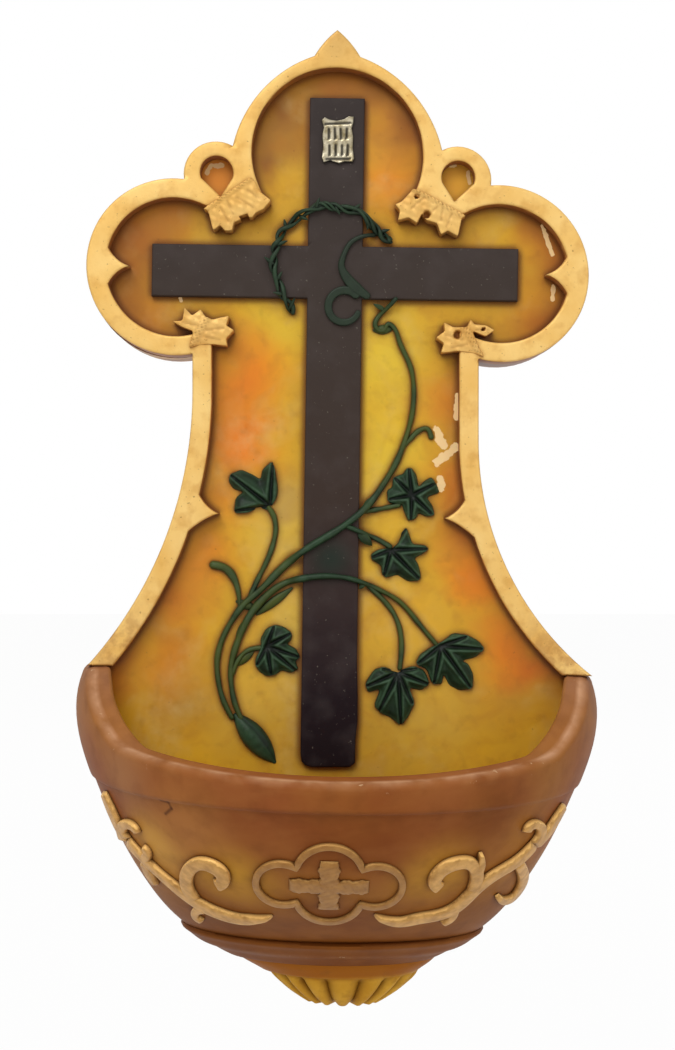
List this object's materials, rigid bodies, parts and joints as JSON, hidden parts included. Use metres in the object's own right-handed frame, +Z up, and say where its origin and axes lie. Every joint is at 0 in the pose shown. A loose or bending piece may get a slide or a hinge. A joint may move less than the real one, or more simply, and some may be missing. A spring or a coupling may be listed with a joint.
{
  "type": "holy water stoup",
  "caption": "Wall-hung holy water stoup: a lobed panel with a gilt border and a cross twined with ivy, over a half-round bowl with scroll relief and a fluted pendant.",
  "frame": {"origin": "centre of the round mouth of the keyhole hanger, in the plane of the back face that rests on the wall", "axes": "+Z up along the plate, -Y out of the front into the room, +X to the right of someone facing the front"},
  "size_m": [0.1096, 0.055, 0.2024],
  "materials": {
    "amber_resin": "translucent amber casting resin, clouded with yellow and orange",
    "gold_paint": "flat gold paint over cast resin, speckled",
    "brown_resin": "matte red-brown stain over amber casting resin",
    "ochre_resin": "matte ochre stain over amber casting resin",
    "slate_paint": "matte slate-brown paint over cast resin",
    "silvered_plaque": "champagne metallic paint, blackened in the hollows",
    "ivy_paint": "dark green paint, rubbed lighter on the edges",
    "antique_gold": "antique gold paint, bright on the upper edges and rubbed back to brown",
    "zinc_steel": "bright zinc-plated steel"
  },
  "bodies": {
    "root": {"back_panel": "amber_resin", "base_ring": "brown_resin", "cross": "slate_paint", "curl_twig": "ivy_paint", "flower_bud": "ivy_paint", "fluted_pendant": "ochre_resin", "gilt_frame": "gold_paint", "hanger_screws": "zinc_steel", "ivy_leaf_1": "ivy_paint", "ivy_leaf_2": "ivy_paint", "ivy_leaf_3": "ivy_paint", "ivy_leaf_4": "ivy_paint", "ivy_leaf_5": "ivy_paint", "ivy_leaf_6": "ivy_paint", "keyhole_hanger": "zinc_steel", "leaf_stalk_1": "ivy_paint", "leaf_stalk_2": "ivy_paint", "leaf_stalk_3": "ivy_paint", "leaf_stalk_4": "ivy_paint", "leaf_stalk_5": "ivy_paint", "lower_vine": "ivy_paint", "medallion_border": "antique_gold", "medallion_cross": "antique_gold", "scroll_left": "antique_gold", "scroll_right": "antique_gold", "side_shoot": "ivy_paint", "sprig_lower_left": "gold_paint", "sprig_lower_right": "gold_paint", "sprig_upper_left": "gold_paint", "sprig_upper_right": "gold_paint", "stoup_bowl": "brown_resin", "tendril_coil": "ivy_paint", "tendril_run": "ivy_paint", "title_plaque": "silvered_plaque", "upper_vine": "ivy_paint", "wreath": "ivy_paint"}
  },
  "joints": []
}
